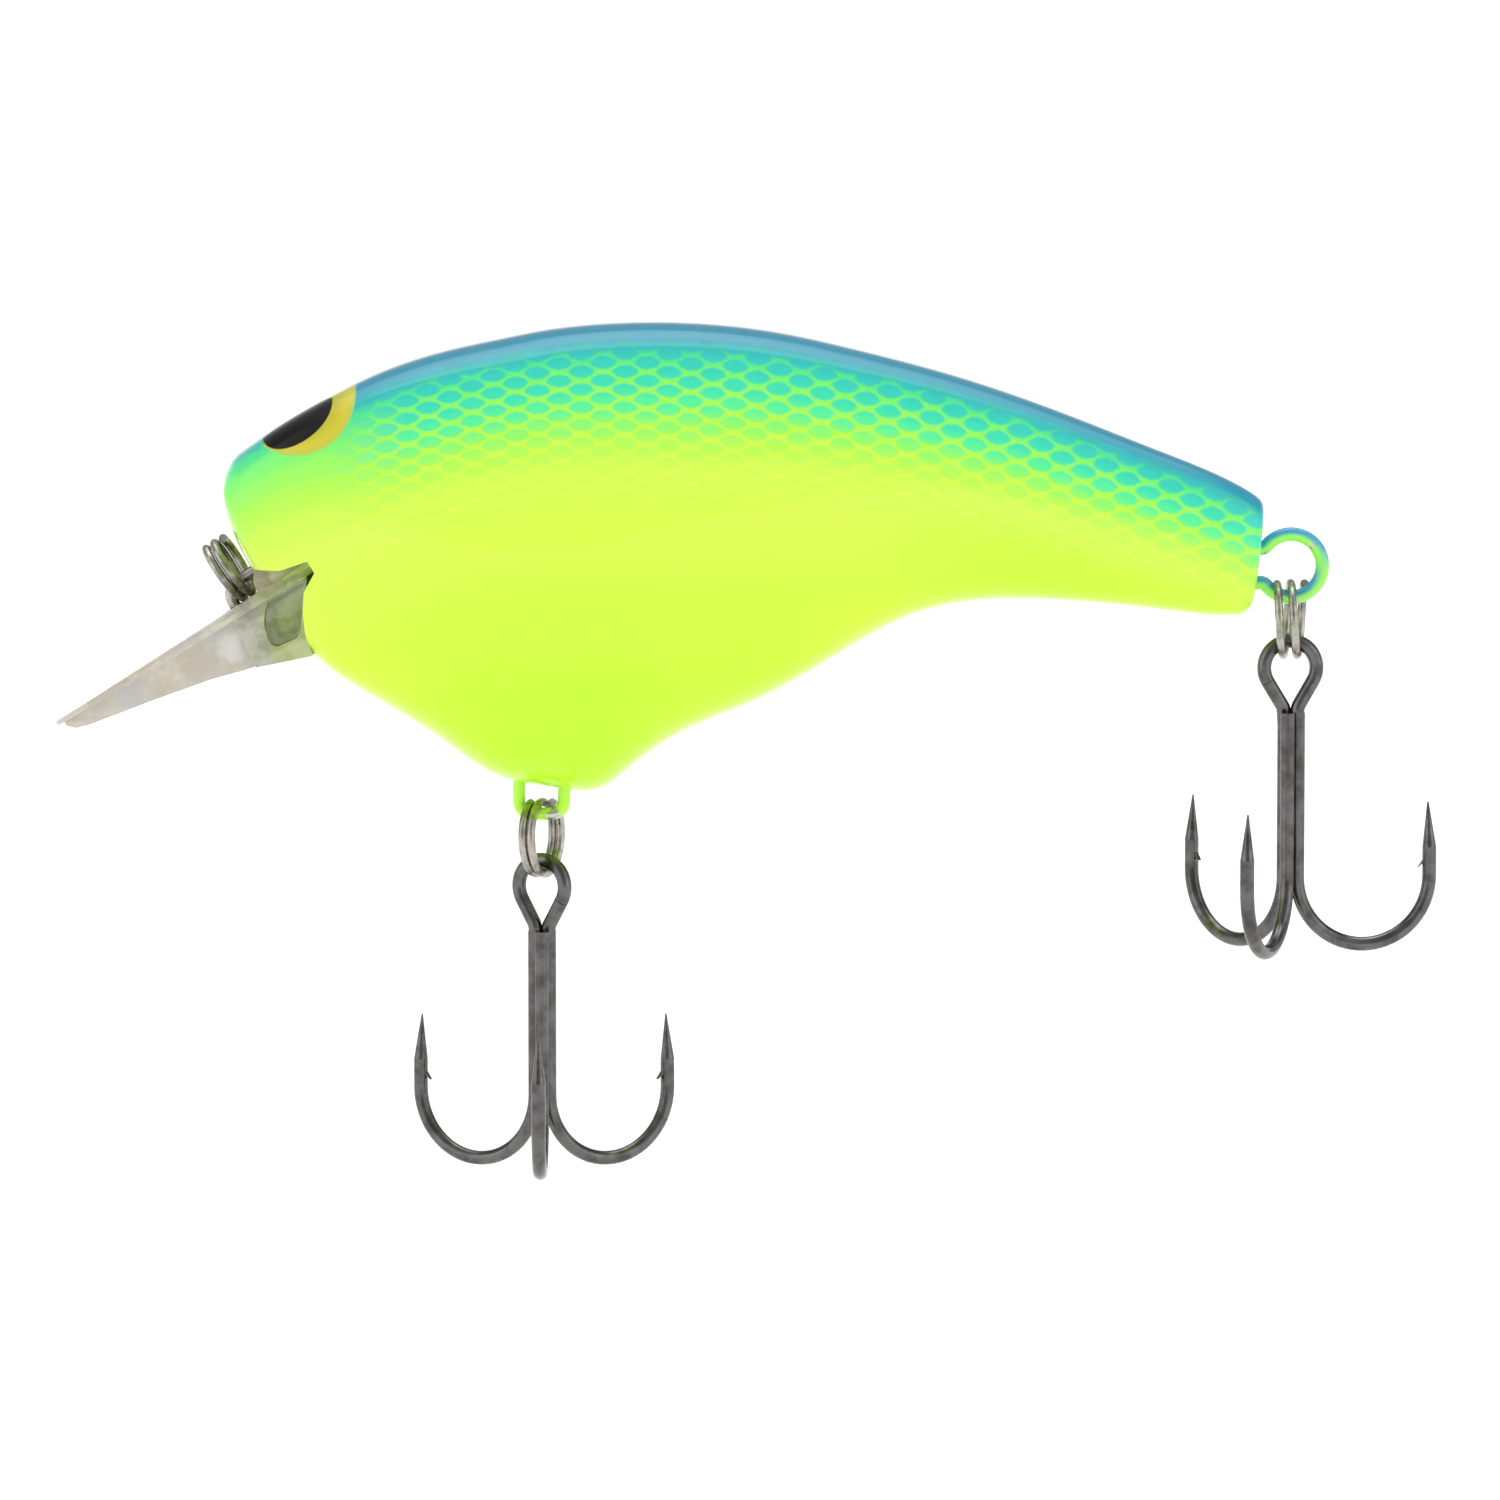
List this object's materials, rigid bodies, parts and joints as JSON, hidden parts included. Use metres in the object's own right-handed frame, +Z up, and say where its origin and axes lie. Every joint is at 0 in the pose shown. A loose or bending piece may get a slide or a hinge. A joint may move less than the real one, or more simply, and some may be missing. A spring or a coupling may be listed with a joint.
{
  "type": "crankbait lure",
  "caption": "Flat-sided hard-bodied fishing lure with a square clear diving bill, wire hangers, split rings and swinging treble hooks, painted as a small fish.",
  "frame": {"origin": "centre of the line-tie loop under the nose", "axes": "+X from nose to tail, +Z up through the back, the left side of the fish faces -Y"},
  "size_m": [0.0931, 0.0182, 0.0577],
  "materials": {
    "body_paint": "sprayed fade from teal back to chartreuse belly under a glossy clear coat",
    "clear_plastic": "clear moulded polycarbonate, polished",
    "steel_wire": "drawn stainless wire, overspray on the exposed loops",
    "ring_steel": "bright nickel on spring steel",
    "hook_black_nickel": "black nickel plate on forged high-carbon steel",
    "ballast_metal": "plain cast slug",
    "steel_ball": "polished bearing ball"
  },
  "bodies": {
    "lure_body": {"body_half_left": "body_paint", "body_half_right": "body_paint", "diving_lip": "clear_plastic", "line_tie_wire": "steel_wire", "belly_hanger_wire": "steel_wire", "tail_hanger_wire": "steel_wire", "belly_ballast": "ballast_metal"},
    "nose_ring": {"split_ring_nose": "ring_steel"},
    "belly_ring": {"split_ring_belly": "ring_steel"},
    "tail_ring": {"split_ring_tail": "ring_steel"},
    "belly_treble": {"belly_treble_double": "hook_black_nickel", "belly_treble_single": "hook_black_nickel"},
    "tail_treble": {"tail_treble_double": "hook_black_nickel", "tail_treble_single": "hook_black_nickel"},
    "rattle_1": {"rattle_ball_1": "steel_ball"},
    "rattle_2": {"rattle_ball_2": "steel_ball"},
    "rattle_3": {"rattle_ball_3": "steel_ball"}
  },
  "joints": [
    {"name": "nose_ring_swing", "type": "hinge", "parent": "lure_body", "child": "nose_ring", "pos_m": [0, 0, 0], "axis": [0, -1, 0], "range_deg": [0, 60]},
    {"name": "belly_ring_swing", "type": "hinge", "parent": "lure_body", "child": "belly_ring", "pos_m": [0.01988, 0, -0.01489], "axis": [1, 0, 0], "range_deg": [-45, 45]},
    {"name": "belly_treble_swing", "type": "hinge", "parent": "belly_ring", "child": "belly_treble", "pos_m": [0.01988, 0, -0.01926], "axis": [0.5, 0.866, 0], "range_deg": [-70, 70]},
    {"name": "tail_ring_swing", "type": "hinge", "parent": "lure_body", "child": "tail_ring", "pos_m": [0.07054, 0, -0.0002], "axis": [1, 0, 0], "range_deg": [-60, 60]},
    {"name": "tail_treble_swing", "type": "hinge", "parent": "tail_ring", "child": "tail_treble", "pos_m": [0.07054, 0, -0.00473], "axis": [-0.1616, 0.9869, 0], "range_deg": [-70, 60]},
    {"name": "rattle_1_slide", "type": "slide", "parent": "lure_body", "child": "rattle_1", "axis": [0, 1, 0], "range_m": [-0.0028, 0.0028]},
    {"name": "rattle_2_slide", "type": "slide", "parent": "lure_body", "child": "rattle_2", "axis": [0, 1, 0], "range_m": [-0.0023, 0.0023]},
    {"name": "rattle_3_slide", "type": "slide", "parent": "lure_body", "child": "rattle_3", "axis": [0, 1, 0], "range_m": [-0.0016, 0.0016]}
  ]
}
